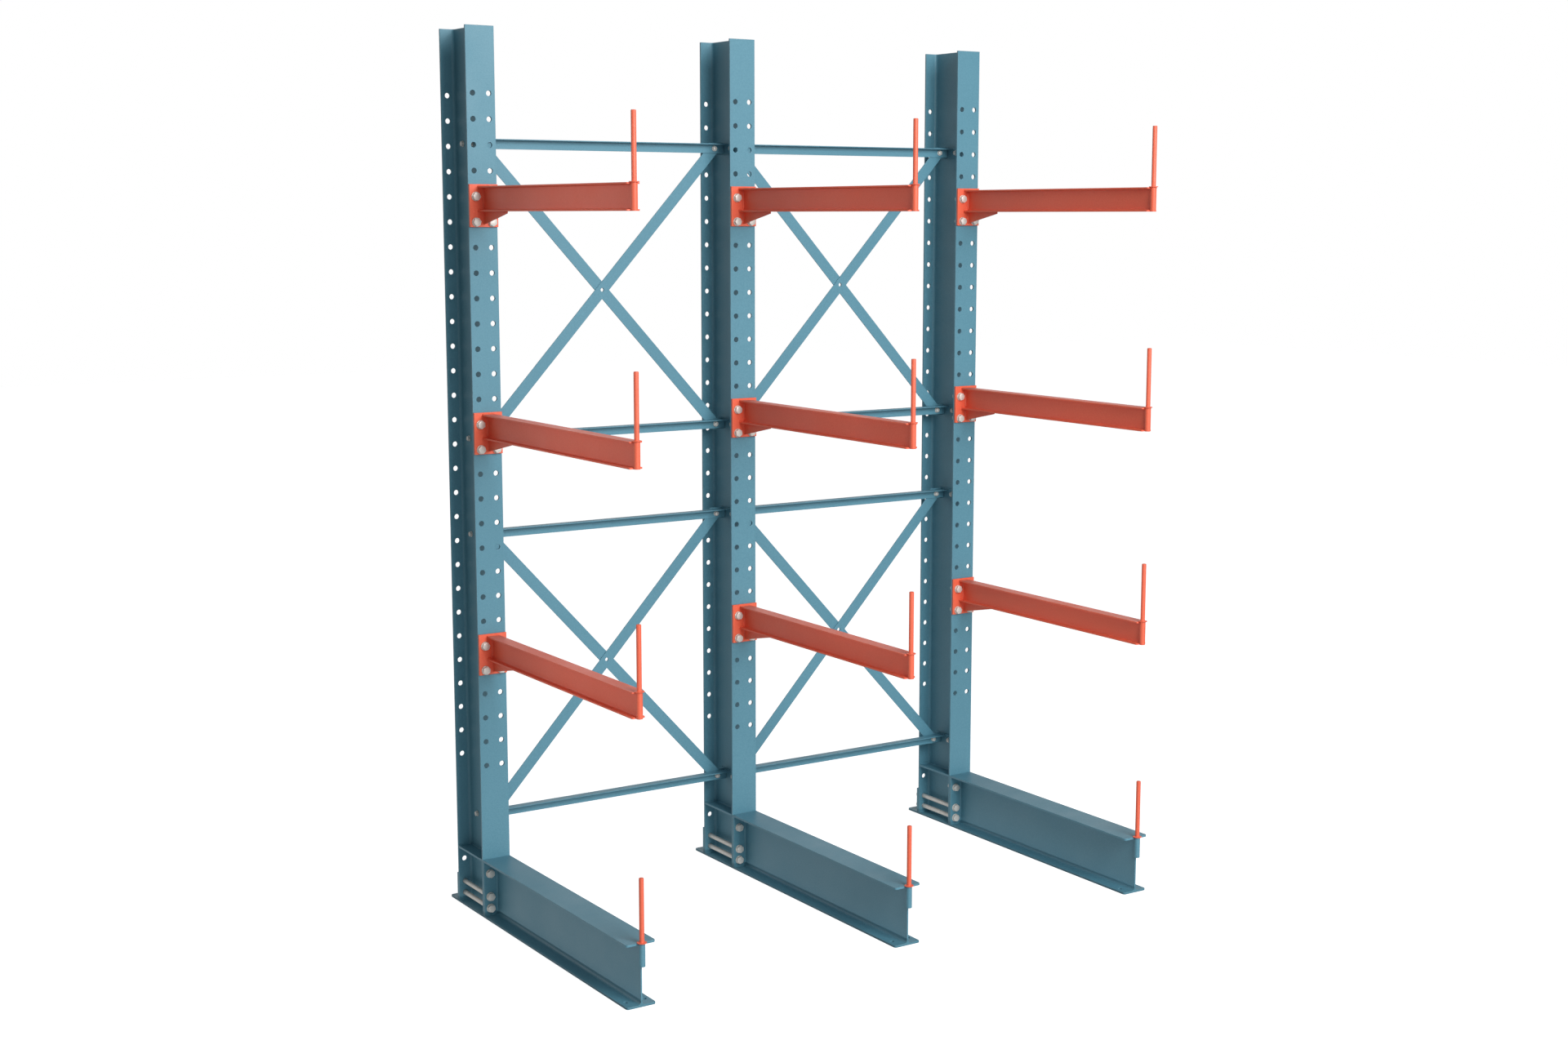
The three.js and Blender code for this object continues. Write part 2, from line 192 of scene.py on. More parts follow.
def drilled_cell(shell, a0, a1, s0, s1, hole, at):
    """A flat rectangle with a round hole, as triangles between its corners and the circle."""
    corners = [(a1, s1), (a0, s1), (a0, s0), (a1, s0)]
    ring = circle(hole[0], hole[1], hole[2])
    quarter = HOLE_STEPS // 4
    for side, corner in enumerate(corners):
        for k in range(quarter):
            first = ring[side * quarter + k]
            second = ring[(side * quarter + k + 1) % HOLE_STEPS]
            shell.face([at(*corner), at(*first), at(*second)])
        turned = ring[(side + 1) * quarter % HOLE_STEPS]
        shell.face([at(*corner), at(*turned), at(*corners[(side + 1) % 4])])


def swept(outline_at, stations, holes=()):
    """A prism of (a, b, s) points through the stations, with round holes through its flat walls.

    outline_at(s) is the section at a station. A hole is (a, s, radius, b0, b1): it runs between the
    walls at b0 and b1.
    """
    shell = Shell()
    sections = [outline_at(s) for s in stations]
    count = len(sections[0])
    mouths = [(a, s, radius, b) for a, s, radius, b0, b1 in holes for b in (b0, b1)]
    for i in range(len(stations) - 1):
        s0, s1 = stations[i], stations[i + 1]
        here = [mouth for mouth in mouths if s0 < mouth[1] < s1]
        for k in range(count):
            p, q = sections[i][k], sections[i][(k + 1) % count]
            p2, q2 = sections[i + 1][k], sections[i + 1][(k + 1) % count]
            low, high = min(p[0], q[0]), max(p[0], q[0])
            found = [
                mouth for mouth in here
                if abs(p[1] - mouth[3]) < 0.01 and abs(q[1] - mouth[3]) < 0.01 and low < mouth[0] < high
            ]
            if found:
                drilled_cell(shell, low, high, s0, s1, found[0][:3], lambda a, s, b=p[1]: (a, b, s))
            else:
                shell.face([(*p, s0), (*q, s0), (*q2, s1), (*p2, s1)])
    shell.face([(*p, stations[0]) for p in sections[0]])
    shell.face([(*p, stations[-1]) for p in sections[-1]])
    for a, s, radius, b0, b1 in holes:
        ring = circle(a, s, radius)
        for k in range(HOLE_STEPS):
            (a0, r0), (a1, r1) = ring[k], ring[(k + 1) % HOLE_STEPS]
            shell.face([(a0, b0, r0), (a1, b0, r1), (a1, b1, r1), (a0, b1, r0)])
    return shell


def plate(outline, low, high, holes=()):
    """A flat plate: outline and round holes in (a, b), thickness from low to high in c."""
    shell = Shell()
    loops = [outline] + [circle(*hole) for hole in holes]
    flat = [point for loop in loops for point in loop]
    for triangle in tessellate_polygon([[Vector((a, b, 0)) for a, b in loop] for loop in loops]):
        for c in (low, high):
            shell.face([(*flat[k], c) for k in triangle])
    for loop in loops:
        for k, (a0, b0) in enumerate(loop):
            a1, b1 = loop[(k + 1) % len(loop)]
            shell.face([(a0, b0, low), (a1, b1, low), (a1, b1, high), (a0, b0, high)])
    return shell


def drilled_plate(x_lines, y, z_lines, holes):
    """A rectangular upright plate; each (x, z, radius) hole lies in its own cell between the lines."""
    section = [(x, y[0]) for x in x_lines] + [(x, y[1]) for x in reversed(x_lines)]
    return swept(lambda z: section, z_lines, [(x, z, radius, *y) for x, z, radius in holes])


def block(x, y, z):
    """A box between the two values of x, y and z."""
    outline = [(x[0], y[0]), (x[1], y[0]), (x[1], y[1]), (x[0], y[1])]
    return plate(outline, z[0], z[1])


def lathe(profile, steps=HOLE_STEPS, bevelled=False):
    """Turns an (r, z) profile round Z; it starts and ends on the axis, or closes on itself."""
    shell = Shell(bevelled)
    rings = [[(a, b, z) for a, b in circle(0, 0, r, steps)] for r, z in profile]
    if profile[0][0] > 0:
        rings.append(rings[0])
    shell.loft(rings)
    return shell


def weld(start, end, side_a, side_b, leg=5):
    """A rippled fillet bead from start to end; side_a and side_b point along the two faces it joins."""
    shell = Shell(bevelled=False)
    start, end = Vector(start), Vector(end)
    side_a, side_b = Vector(side_a), Vector(side_b)
    length = (end - start).length
    steps = max(4, round(length / WELD_STEP))
    rings = []
    for k in range(steps + 1):
        along = length * k / steps
        ripple = 0.09 * math.sin(2 * math.pi * along / RIPPLE)
        size = leg * (1 + ripple + 0.05 * math.sin(along / SWELL))
        if k in (0, steps):
            size *= WELD_END
        corner = start.lerp(end, k / steps) - (side_a + side_b) * 0.4
        rings.append([tuple(corner + side_a * (size * u) + side_b * (size * v)) for u, v in BEAD])
    shell.loft(rings)
    shell.face(rings[0])
    shell.face(rings[-1])
    return shell


# ---------------------------------------------------------------- meshes
def raw_mesh(name, shells, bevelling):
    """One mesh from all shells, in metres; sharp edges of bevelled shells get a bevel weight."""
    mesh = bpy.data.meshes.new(name)
    bm = bmesh.new()
    for shell in shells:
        verts = [bm.verts.new([value * MM for value in point]) for point in shell.points]
        made = [bm.faces.new([verts[k] for k in face]) for face in shell.faces]
        bmesh.ops.recalc_face_normals(bm, faces=made)
    if bevelling:
        bevel_weights(bm, [shell.bevelled for shell in shells for _ in shell.faces])
    for face in bm.faces:
        face.smooth = True
    bm.to_mesh(mesh)
    bm.free()
    return mesh


def bevel_weights(bm, bevelled_faces):
    """Marks sharp edges for rounding where their shell is bevelled, and as plain creases elsewhere."""
    weight = bm.edges.layers.float.new("bevel_weight_edge")
    bm.faces.ensure_lookup_table()
    for edge in bm.edges:
        if len(edge.link_faces) != 2 or edge.calc_face_angle(0) < SHARP_ANGLE:
            continue
        if not bevelled_faces or bevelled_faces[edge.link_faces[0].index]:
            edge[weight] = 1
        else:
            edge.smooth = False


def cut_shell(name, shell, cutter):
    """The shell with the cutter's shape taken out of it."""
    target = bpy.data.objects.new(name + "_rough", raw_mesh(name, [shell], False))
    knife = bpy.data.objects.new(name + "_knife", raw_mesh(name + "_knife", [cutter], False))
    for obj in (target, knife):
        bpy.context.scene.collection.objects.link(obj)
    cut = target.modifiers.new("cut", "BOOLEAN")
    cut.object = knife
    cut.solver = "EXACT"
    result = from_mesh(evaluated(target))
    for obj in (target, knife):
        bpy.data.objects.remove(obj)
    return result


def finished_mesh(name, shells, bevel=1.0, cutter=None):
    """The shells as one mesh, with rounded edges and even shading; the cutter cuts only the first."""
    if cutter:
        shells = [cut_shell(name, shells[0], cutter)] + shells[1:]
    mesh = raw_mesh(name, shells, True)
    obj = bpy.data.objects.new(name + "_source", mesh)
    bpy.context.scene.collection.objects.link(obj)
    rounding = obj.modifiers.new("edges", "BEVEL")
    rounding.limit_method = "WEIGHT"
    rounding.width = bevel * MM
    rounding.segments = 2
    rounding.harden_normals = True
    rounding.use_clamp_overlap = False
    rounding.material = 1
    for _ in range(2):
        mesh.materials.append(None)
    done = evaluated(obj)
    done.name = name
    bpy.data.objects.remove(obj)
    mark_edges(done)
    return done


def mark_edges(mesh):
    """Writes 1 along the middle of every rounded edge, where the paint is lightened: partly as wear and
    partly as a painted edge highlight.
    """
    inner = [True] * len(mesh.vertices)
    for face in mesh.polygons:
        if face.material_index == 0:
            for vertex in face.vertices:
                inner[vertex] = False
        face.material_index = 0
    mesh.materials.clear()
    wear_and_highlight_layer = mesh.attributes.new("edge_wear_and_highlight", "FLOAT", "POINT")
    wear_and_highlight_layer.data.foreach_set("value", [float(value) for value in inner])


def evaluated(obj):
    """The object's mesh with its modifiers applied."""
    bpy.context.view_layer.update()
    graph = bpy.context.evaluated_depsgraph_get()
    return bpy.data.meshes.new_from_object(obj.evaluated_get(graph))


def from_mesh(mesh):
    """A shell read back from a cut mesh."""
    shell = Shell()
    shell.points = [tuple(value / MM for value in vert.co) for vert in mesh.vertices]
    shell.faces = [list(face.vertices) for face in mesh.polygons]
    return shell


def placed(name, mesh, material, x=0.0, z=0.0, body=ROOT, node=None):
    """Puts a finished mesh in the rack, riding on a body, in place of its CAD node if it has one."""
    obj = bpy.data.objects.new(name, mesh)
    bpy.context.scene.collection.objects.link(obj)
    obj.location = (x * MM, SHIFT_Y * MM, z * MM)
    if not mesh.materials:
        mesh.materials.append(material)
    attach(obj, body)
    if node:
        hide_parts(node)


# ---------------------------------------------------------------- steelwork
def column_mesh():
    rows = sorted(TOP_ROW_Z - k * HOLE_PITCH for k in range(HOLE_ROWS))
    half_pitch = HOLE_PITCH / 2
    stations = [FOOT_THICKNESS, *FOOT_STATIONS, rows[0] - half_pitch]
    stations += [z + half_pitch for z in rows] + [COLUMN_HEIGHT]
    flange = SECTION["flange"]
    depth = SECTION["depth"]
    holes = [
        (x, z, HOLE_RADIUS, b0, b1)
        for x in (-HALF_GAUGE, HALF_GAUGE)
        for z in rows + [BASE_BOLT_Z] + list(ROD_Z)
        for b0, b1 in ((0, flange), (depth - flange, depth))
    ]
    shaft = swept(lambda s: i_outline(**SECTION), stations, holes)
    half = SECTION["width"] / 2
    foot_outline = [(-half, 0), (half, 0)]
    corner_y = FOOT_REAR_Y - FOOT_CORNER
    foot_outline += arc((half - FOOT_CORNER, corner_y), FOOT_CORNER, 0, 90, CORNER_STEPS)
    foot_outline += arc((FOOT_CORNER - half, corner_y), FOOT_CORNER, 90, 180, CORNER_STEPS)
    shells = [
        shaft,
        plate(foot_outline, 0, FOOT_THICKNESS),
        block((-half, half), BACK_PLATE["y"], (FOOT_THICKNESS, BACK_PLATE["top"])),
    ]
    for side in (-1, 1):
        shells += [stiffener(side)] + column_welds(side)
    front_y, rear_y = BACK_PLATE["y"]
    for y, z in ((rear_y, FOOT_THICKNESS), (front_y, BACK_PLATE["top"])):
        shells.append(weld((3 - half, y, z), (half - 3, y, z), (0, 1, 0), (0, 0, 1)))
    return finished_mesh("column_steel", shells, bevel=1.2)


def stiffener(side):
    web = SECTION["web"] / 2 - STIFFENER_EMBED
    edge = SECTION["width"] / 2
    front = SECTION["flange"] - STIFFENER_EMBED
    rear = SECTION["depth"] - front
    snipe = STIFFENER_SNIPE
    outline = [
        (side * web, front + snipe), (side * (web + snipe), front), (side * edge, front),
        (side * edge, rear), (side * (web + snipe), rear), (side * web, rear - snipe),
    ]
    return plate(outline, *STIFFENER_Z)


def column_welds(side):
    """Beads inside one channel of the column: at the foot plate and above and below the stiffener."""
    web = side * SECTION["web"] / 2
    edge = side * (SECTION["width"] / 2 - 2)
    inner = side * (SECTION["web"] / 2 + SECTION["root"])
    front = SECTION["flange"]
    rear = SECTION["depth"] - front
    root = SECTION["root"]
    out = (side, 0, 0)
    beads = []
    levels = ((FOOT_THICKNESS, 1), (STIFFENER_Z[1], 1), (STIFFENER_Z[0], -1))
    for z, way in levels:
        up = (0, 0, way)
        beads.append(weld((web, front + root, z), (web, rear - root, z), out, up))
        beads.append(weld((inner, front, z), (edge, front, z), (0, 1, 0), up))
        beads.append(weld((inner, rear, z), (edge, rear, z), (0, -1, 0), up))
    return beads


def socket(bottom, top):
    profile = [(SOCKET_BORE, bottom), (SOCKET_RADIUS, bottom), (SOCKET_RADIUS, top), (SOCKET_BORE, top)]
    return lathe(profile, SOCKET_STEPS, bevelled=True).moved(at_tip)


def socket_knife(bottom, top):
    """Clears the beam away inside the socket's wall, a little wider than the bore."""
    radius = SOCKET_BORE + 1.2
    profile = [(0, bottom), (radius, bottom), (radius, top), (0, top)]
    return lathe(profile, SOCKET_STEPS).moved(at_tip)


def at_tip(x, y, z):
    """Takes a round part made on the Z axis to the stop pin's place."""
    return (x, y + PIN_Y, z)


def socket_welds(section, low, high):
    """Beads that hold the pin socket to both sides of a beam's web."""
    beads = []
    y = BEAM_END_Y + 2
    for side in (-1, 1):
        web = side * section["web"] / 2
        beads.append(weld((web, y, low), (web, y, high), (side, 0, 0), (0, -1, 0), leg=4))
    return beads


def beam(section, start_y, corner, z0, holes=()):
    """An I-beam along -Y with its flange corners rounded at the tip; z0 is its underside."""
    narrowing = {}
    for angle in TIP_ANGLES:
        sin, cos = math.sin(math.radians(angle)), math.cos(math.radians(angle))
        narrowing[BEAM_END_Y + corner * (1 - sin)] = corner * (1 - cos)
    breaks = [s for hole in holes for s in (hole[1] - 25, hole[1] + 25)]
    stations = sorted(set([*narrowing, *breaks, start_y]))
    shell = swept(lambda s: i_outline(**section, narrow=narrowing.get(s, 0)), stations, holes)
    return shell.moved(lambda a, b, s: (a, s, b + z0))


def beam_welds(section, plate_y, z0):
    """Beads where a beam meets its plate, on the web and on the inner faces of both flanges."""
    beads = []
    half_web = section["web"] / 2
    root = section["root"]
    flange = section["flange"]
    top = z0 + section["depth"]
    out = (0, -1, 0)
    edge = section["width"] / 2 - WELD_INSET
    low, high = z0 + flange, top - flange
    for side in (-1, 1):
        web = side * half_web
        inner = side * (half_web + root)
        beads.append(weld((web, plate_y, low + root), (web, plate_y, high - root), (side, 0, 0), out))
        beads.append(weld((inner, plate_y, low), (side * edge, plate_y, low), (0, 0, 1), out))
        beads.append(weld((inner, plate_y, high), (side * edge, plate_y, high), (0, 0, -1), out))
    return beads


def base_mesh():
    half = SECTION["width"] / 2
    depth = SECTION["depth"]
    plate_y = -GAP - END_PLATE
    flange = SECTION["flange"]
    holes = [(x, ANCHOR["y"], ANCHOR["radius"], 0, flange) for x in (-ANCHOR["x"], ANCHOR["x"])]
    body = beam(SECTION, plate_y + EMBED, TIP_CORNER, 0, holes)
    rows = sorted((*ROD_Z, BASE_BOLT_Z))
    bolt_holes = [(x, z, HOLE_RADIUS) for x in (-HALF_GAUGE, HALF_GAUGE) for z in rows]
    between = [(lower + upper) / 2 for lower, upper in zip(rows, rows[1:])]
    end = drilled_plate((-half, 0, half), (plate_y, -GAP), (0, *between, depth), bolt_holes)
    shells = [body, end, socket(depth - SOCKET_LENGTH, depth)]
    shells += beam_welds(SECTION, plate_y, 0)
    shells += socket_welds(SECTION, depth - SOCKET_LENGTH + 2, depth - flange - 3)
    knife = socket_knife(depth - SOCKET_LENGTH - 1, depth + 1)
    return finished_mesh("base_steel", shells, bevel=1.2, cutter=knife)


def arm_mesh():
    bottom = ARM_TOP - ARM_SECTION["depth"]
    plate_y = -GAP - ARM_PLATE["thickness"]
    half = ARM_PLATE["half"]
    body = beam(ARM_SECTION, plate_y + EMBED, ARM_TIP_CORNER, bottom)
    low, high = -ARM_PLATE["below"], ARM_PLATE["above"]
    bolt_holes = [(x, z, HOLE_RADIUS) for x in (-HALF_GAUGE, HALF_GAUGE) for z in (0, -HOLE_PITCH)]
    mounting = drilled_plate((-half, 0, half), (plate_y, -GAP), (low, -HOLE_PITCH / 2, high), bolt_holes)
    heel = bottom - GUSSET["drop"]
    toe = bottom - GUSSET["toe"]
    gusset_outline = [
        (plate_y + EMBED, bottom + EMBED), (plate_y + EMBED, heel), (plate_y - GUSSET["heel"], heel),
        (-GUSSET["reach"], toe), (-GUSSET["reach"], bottom + EMBED),
    ]
    gusset = plate(gusset_outline, -GUSSET["half"], GUSSET["half"]).moved(lambda a, b, c: (c, a, b))
    shells = [body, mounting, gusset, socket(bottom, ARM_TOP)]
    shells += beam_welds(ARM_SECTION, plate_y, bottom)
    shells += socket_welds(ARM_SECTION, bottom + 9, ARM_TOP - 9)
    edge = ARM_SECTION["width"] / 2 - WELD_INSET
    front = (0, -1, 0)
    shells.append(weld((-edge, plate_y, ARM_TOP), (edge, plate_y, ARM_TOP), (0, 0, 1), front, leg=4.5))
    for side in (-1, 1):
        face = side * GUSSET["half"]
        out = (side, 0, 0)
        shells.append(weld((face, plate_y, heel + 3), (face, plate_y, bottom - 3), out, front, leg=4))
        start, end = (face, plate_y - 3, bottom), (face, 3 - GUSSET["reach"], bottom)
        shells.append(weld(start, end, out, (0, 0, -1), leg=4))
    knife = socket_knife(bottom - 1, ARM_TOP + 1)
    return finished_mesh("arm_steel", shells, bevel=0.8, cutter=knife)


def pin_mesh():
    """Stop pin with a pressed collar; z = 0 is the top face of the beam it stands on."""
    radius = PIN["radius"]
    top = PIN["above"]
    foot = -PIN["inserted"]
    collar = PIN["collar"]
    lift = GAP + PIN["collar_height"]
    rounded_foot = [(0, foot), (radius - 2, foot), (radius - 0.6, foot + 0.7), (radius, foot + 2.4)]
    collar_under = [(radius, GAP), (collar - 0.8, GAP), (collar - 0.2, GAP + 0.3), (collar, GAP + 0.9)]
    collar_over = [(collar, lift - 0.9), (collar - 0.25, lift - 0.3), (collar - 0.9, lift)]
    fillet = [(radius + 2.2, lift), (radius + 0.9, lift + 0.5), (radius + 0.2, lift + 1.4)]
    fillet.append((radius, lift + 3))
    rounded_top = [(radius, top - 3.2), (radius - 0.35, top - 1.7), (radius - 1.1, top - 0.7)]
    rounded_top += [(radius - 2.4, top - 0.15), (3, top), (0, top)]
    profile = rounded_foot + collar_under + collar_over + fillet + rounded_top
    return finished_mesh("pin_steel", [lathe(profile, PIN_STEPS).moved(at_tip)])


def angle_mesh():
    half = BAY_WIDTH / 2 - ANGLE["end_gap"]
    leg, thickness, root, heel = (ANGLE[key] for key in ("leg", "thickness", "root", "heel"))
    top = leg / 2
    front = ANGLE["front_y"]
    back = front + thickness
    outline = [(-top, back), (-top, front), (top - thickness - root, front)]
    outline += arc((top - thickness - root, front - root), root, 90, 0, 4)[1:]
    outline += [(top - thickness, back - leg), (top, back - leg), (top, back - heel), (top - heel, back)]
    stations = [-half, DRILLED_END - half, half - DRILLED_END, half]
    reach = BAY_WIDTH / 2 - BRACE_BOLT_X
    holes = [(0, s, BRACE_HOLE, front, back) for s in (-reach, reach)]
    shell = swept(lambda s: outline, stations, holes)
    return finished_mesh("angle_steel", [shell.moved(lambda a, b, s: (s, b, a))], bevel=0.7)


def diagonal_mesh(direction):
    run = BAY_WIDTH / 2 - BRACE_BOLT_X
    rise = (PANELS["upper"][0] - PANELS["upper"][1]) / 2
    length = math.hypot(run, rise)
    half = BAR["half"]
    outline = arc((length, 0), half, -90, 90, 14) + arc((-length, 0), half, 90, 270, 14)
    holes = [(-length, 0, BRACE_HOLE), (0, 0, BAR["cross_hole"]), (length, 0, BRACE_HOLE)]
    y0 = BAR["rising_y"] if direction > 0 else BAR["falling_y"]
    flat = plate(outline, y0, y0 + BAR["thickness"], holes)
    cos, sin = run / length, direction * rise / length
    name = "rising_bar_steel" if direction > 0 else "falling_bar_steel"
    tilted = flat.moved(lambda a, b, c: (a * cos - b * sin, c, a * sin + b * cos))
    return finished_mesh(name, [tilted], bevel=0.6)


def clip_mesh(side):
    inner = SECTION["web"] / 2 + GAP
    outer = inner + CLIP["plate"]
    half = CLIP["half"]
    leg_y = CLIP["leg_y"]
    corner = CLIP["corner"]
    y0, y1 = CLIP["y"]
    foot_outline = [(y0, -half), (y1, -half), (y1, half), (y0, half)]
    foot = plate(foot_outline, inner, outer).moved(lambda a, b, c: (side * c, a, b))
    reach = CLIP["reach"]
    leg_outline = [(outer - EMBED, -half)]
    leg_outline += arc((reach - corner, corner - half), corner, -90, 0, CORNER_STEPS)
    leg_outline += arc((reach - corner, half - corner), corner, 0, 90, CORNER_STEPS)
    leg_outline += [(outer - EMBED, half)]
    leg = plate(leg_outline, leg_y, leg_y + CLIP["plate"], [(BRACE_BOLT_X, 0, BRACE_HOLE)])
    leg = leg.moved(lambda a, b, c: (side * a, c, b))
    face = side * outer
    bead = weld((face, leg_y, 3 - half), (face, leg_y, half - 3), (side, 0, 0), (0, -1, 0), leg=4)
    return finished_mesh(f"clip_steel_{'right' if side > 0 else 'left'}", [foot, leg, bead], bevel=0.7)


# ---------------------------------------------------------------- fasteners, along +Z from z = 0
def hexagon(flats, height, bore=0.0, both=False):
    """Hexagon head or nut with its corners turned off; both chamfers the underside too."""
    steps = FASTENER_STEPS
    turns = [2 * math.pi * k / steps for k in range(steps)]
    from_flat = [math.radians((k * 360 / steps) % 60 - 30) for k in range(steps)]
    radii = [flats / 2 / math.cos(angle) for angle in from_flat]
    inner = flats / 2 * CHAMFER_START
    drops = [(radius - inner) * math.tan(CHAMFER_ANGLE) for radius in radii]

    def ring(reaches, heights):
        return [(r * math.cos(turn), r * math.sin(turn), z) for r, turn, z in zip(reaches, turns, heights)]

    def level(radius, z):
        return ring([radius] * steps, [z] * steps)

    low = [drop if both else 0 for drop in drops]
    high = [height - drop for drop in drops]
    rings = [level(bore, 0), level(inner, 0), ring(radii, low)]
    rings += [ring(radii, high), level(inner, height), level(bore, height)]
    if bore:
        rings.append(rings[0])
    shell = Shell(bevelled=False)
    shell.loft(rings)
    return shell


def washer(size, z=0.0):
    inner, outer, thick = size["radius"] + 0.5, size["washer"], size["washer_t"]
    profile = [(inner, z), (outer - 0.4, z), (outer, z + 0.4)]
    profile += [(outer, z + thick - 0.4), (outer - 0.4, z + thick), (inner, z + thick)]
    return lathe(profile, FASTENER_STEPS)


def shank(size, start, end, threaded):
    """A rod from start to end whose last stretch, threaded long, carries rings of thread."""
    radius, pitch = size["radius"], size["pitch"]
    profile = [(0, start), (radius, start), (radius, end - threaded)]
    z = end - threaded
    while z + pitch <= end - 1:
        profile += [(radius, z + pitch * 0.2), (radius - pitch * 0.5, z + pitch * 0.5)]
        profile.append((radius, z + pitch * 0.8))
        z += pitch
    profile += [(radius, end - 1), (radius - 1.2, end), (0, end)]
    clean = [point for k, point in enumerate(profile) if k == 0 or point != profile[k - 1]]
    return lathe(clean)


def bolt_set(size, grip, spin, tail=8.0):
    """Bolt, washers and nut clamping from z = 0 back to z = -grip; the head is on the +Z side."""
    thick = size["washer_t"]
    head = hexagon(size["flats"], size["head"]).moved(turned(spin, thick))
    nut_top = -grip - thick
    nut = hexagon(size["flats"], size["nut"], bore=size["radius"] - 0.2, both=True)
    nut = nut.moved(turned(spin + 11, nut_top - size["nut"]))
    end = nut_top - size["nut"] - tail
    rod = shank(size, -thick - 0.5, -end, tail + size["nut"]).moved(lambda x, y, z: (x, -y, -z))
    return [head, washer(size), nut, rod, washer(size, nut_top)]


def turned(angle, lift):
    cos, sin = math.cos(math.radians(angle)), math.sin(math.radians(angle))
    return lambda x, y, z: (x * cos - y * sin, x * sin + y * cos, z + lift)


def facing_front(x, y, z):
    """Takes a fastener made along +Z to point along -Y at this place."""
    return lambda a, b, c: (x + a, y - c, z + b)


def facing_left(x, y, z):
    return lambda a, b, c: (x - c, y + a, z + b)


def spin_of(*numbers):
    """A repeatable angle for how far a bolt happens to be turned."""
    return sum(n * step for n, step in zip(numbers, (37.0, 23.0, 17.0, 53.0))) % 60


def front_bolts(thickness, behind, rows):
    """M20 sets in both gauge lines through a front plate and what is behind it.

    rows lists (z, spins), with one spin for each gauge line.
    """
    shells = []
    for i, x in enumerate((-HALF_GAUGE, HALF_GAUGE)):
        for z, spins in rows:
            kit = bolt_set(M20, thickness + GAP + behind, spins[i])
            shells += [shell.moved(facing_front(x, -GAP - thickness, z)) for shell in kit]
    return shells


def arm_bolts_mesh(seed):
    rows = [(z, [spin_of(seed, i, j, 1) for i in (0, 1)]) for j, z in enumerate((0, -HOLE_PITCH))]
    return finished_mesh(f"arm_bolts_{seed}", front_bolts(ARM_PLATE["thickness"], SECTION["flange"], rows))


def base_bolts_mesh(seed):
    """The two short bolts at the top of the end plate."""
    rows = [(BASE_BOLT_Z, [spin_of(seed, i, 2, 0) for i in (0, 1)])]
    return finished_mesh(f"base_bolts_{seed}", front_bolts(END_PLATE, SECTION["flange"], rows))


def base_rods_mesh(seed):
    """The four long rods through end plate, both flanges and back plate."""
    rows = [(z, [spin_of(seed, i, j, 3) for i in (0, 1)]) for j, z in enumerate(ROD_Z)]
    return finished_mesh(f"base_rods_{seed}", front_bolts(END_PLATE, BACK_PLATE["y"][1], rows))


def web_bolts_mesh(clips_left, clips_right, seed):
    """The two bolts of one brace level through a column's web and its clips."""
    clip = GAP + CLIP["plate"]
    half_web = SECTION["web"] / 2
    left = -half_web - (clip if clips_left else 0)
    right = half_web + (clip if clips_right else 0)
    shells = []
    for i, y in enumerate(WEB_BOLT_Y):
        kit = bolt_set(M12, right - left, spin_of(seed, i, 1, 1), tail=5)
        shells += [shell.moved(facing_left(left, y, 0)) for shell in kit]
    return finished_mesh(f"web_bolts_{seed}", shells)


def brace_bolts_mesh(packed_behind, seed):
    """The bolts at both ends of one angle; packed_behind says which ends carry a rising bar."""
    front = ANGLE["front_y"]
    rear = CLIP["leg_y"] + CLIP["plate"]
    shells = []
    for i, (side, behind) in enumerate(zip((-1, 1), packed_behind)):
        x = side * (BAY_WIDTH / 2 - BRACE_BOLT_X)
        kit = bolt_set(M12, rear - front, spin_of(seed, i, 0, 2), tail=5)
        shells += [shell.moved(facing_front(x, front, 0)) for shell in kit]
        pack_y = BAR["falling_y"] if behind else BAR["rising_y"]
        thick = BAR["thickness"]
        packing = lathe([(BRACE_HOLE, 0), (PACKING_RADIUS, 0), (PACKING_RADIUS, thick), (BRACE_HOLE, thick)])
        shells.append(packing.moved(facing_front(x, pack_y + thick, 0)))
    return finished_mesh(f"brace_bolts_{seed}", shells)


# ---------------------------------------------------------------- materials
# How many features each noise has per metre.
PAINT_NOISE = {"drift": 1.7, "grain": 170.0, "rubbing_and_highlight": 34.0, "smudge": 5.5, "peel": 420.0}
ZINC_NOISE = {"patches": 130.0, "marks": 46.0, "polish": 150.0, "pitting": 900.0}
SHIFT_RANGE = 23.0  # how far a piece's pattern may be moved


